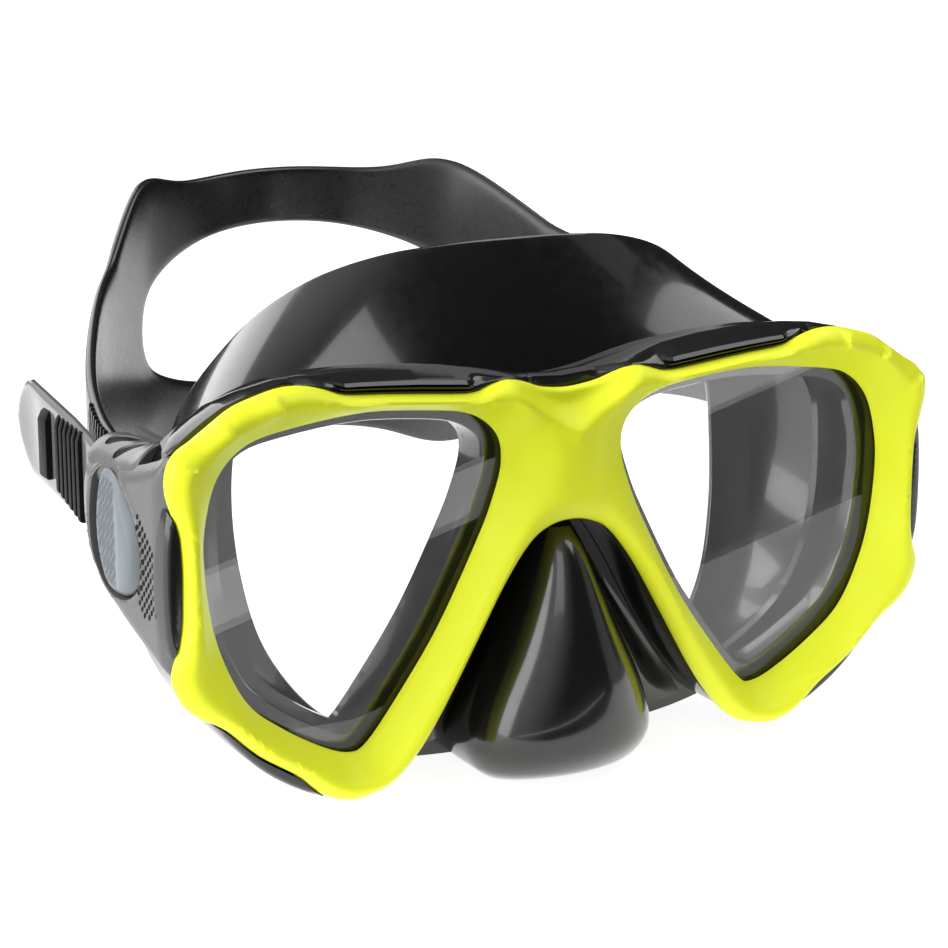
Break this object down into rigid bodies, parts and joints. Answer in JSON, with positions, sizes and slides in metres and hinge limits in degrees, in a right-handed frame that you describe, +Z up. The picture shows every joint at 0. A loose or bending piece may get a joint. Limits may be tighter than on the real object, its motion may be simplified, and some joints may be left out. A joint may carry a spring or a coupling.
{
  "type": "snorkel mask",
  "caption": "Twin-lens dive mask with a bright trim ring, black silicone skirt with nose pocket, split head strap and side buckles with release buttons.",
  "frame": {"origin": "middle of the bounding box in X and Y, on the surface the mask stands on", "axes": "+Z up, -Y is the way the mask looks, +X is the wearer's left"},
  "size_m": [0.1586, 0.137, 0.0959],
  "materials": {
    "trim_yellow": "satin neon yellow",
    "frame_black": "gloss",
    "lens_glass": "clear tempered",
    "skirt_silicone": "glossy silicone",
    "strap_silicone": "glossy silicone",
    "buckle_plastic": "satin",
    "button_grey": "satin grey",
    "lever_acetal": "moulded",
    "pin_steel": "drawn wire"
  },
  "bodies": {
    "mask": {"trim_bezel": "trim_yellow", "main_frame": "frame_black", "lens_left": "lens_glass", "lens_right": "lens_glass", "skirt": "skirt_silicone", "buckle_housing_left": "buckle_plastic", "buckle_base_left": "buckle_plastic", "pivot_pin_left": "pin_steel", "button_spring_left": "pin_steel", "roller_pin_left": "pin_steel", "strap_end_left": "strap_silicone", "buckle_housing_right": "buckle_plastic", "buckle_base_right": "buckle_plastic", "pivot_pin_right": "pin_steel", "button_spring_right": "pin_steel", "roller_pin_right": "pin_steel", "strap_end_right": "strap_silicone"},
    "strap": {"strap_pad": "strap_silicone"},
    "button_left": {"release_button_left": "button_grey", "ratchet_pawl_left": "lever_acetal"},
    "button_right": {"release_button_right": "button_grey", "ratchet_pawl_right": "lever_acetal"},
    "roller_left": {"strap_roller_left": "lever_acetal"},
    "roller_right": {"strap_roller_right": "lever_acetal"}
  },
  "joints": [
    {"name": "strap_swing", "type": "hinge", "parent": "mask", "child": "strap", "pos_m": [0, -0.0231, 0.056], "axis": [1, 0, 0], "range_deg": [-20, 30], "stiffness_Nm_per_rad": 1},
    {"name": "button_press_left", "type": "hinge", "parent": "mask", "child": "button_left", "pos_m": [0.0756, -0.0421, 0.051], "axis": [0, 0, 1], "range_deg": [0, 5], "stiffness_Nm_per_rad": 0.05},
    {"name": "button_press_right", "type": "hinge", "parent": "mask", "child": "button_right", "pos_m": [-0.0756, -0.0421, 0.051], "axis": [0, 0, -1], "range_deg": [0, 5], "stiffness_Nm_per_rad": 0.05},
    {"name": "roller_spin_left", "type": "hinge", "parent": "mask", "child": "roller_left", "pos_m": [0.0729, -0.0376, 0.056], "axis": [0, 0, 1], "continuous": true},
    {"name": "roller_spin_right", "type": "hinge", "parent": "mask", "child": "roller_right", "pos_m": [-0.0729, -0.0376, 0.056], "axis": [0, 0, 1], "continuous": true}
  ]
}
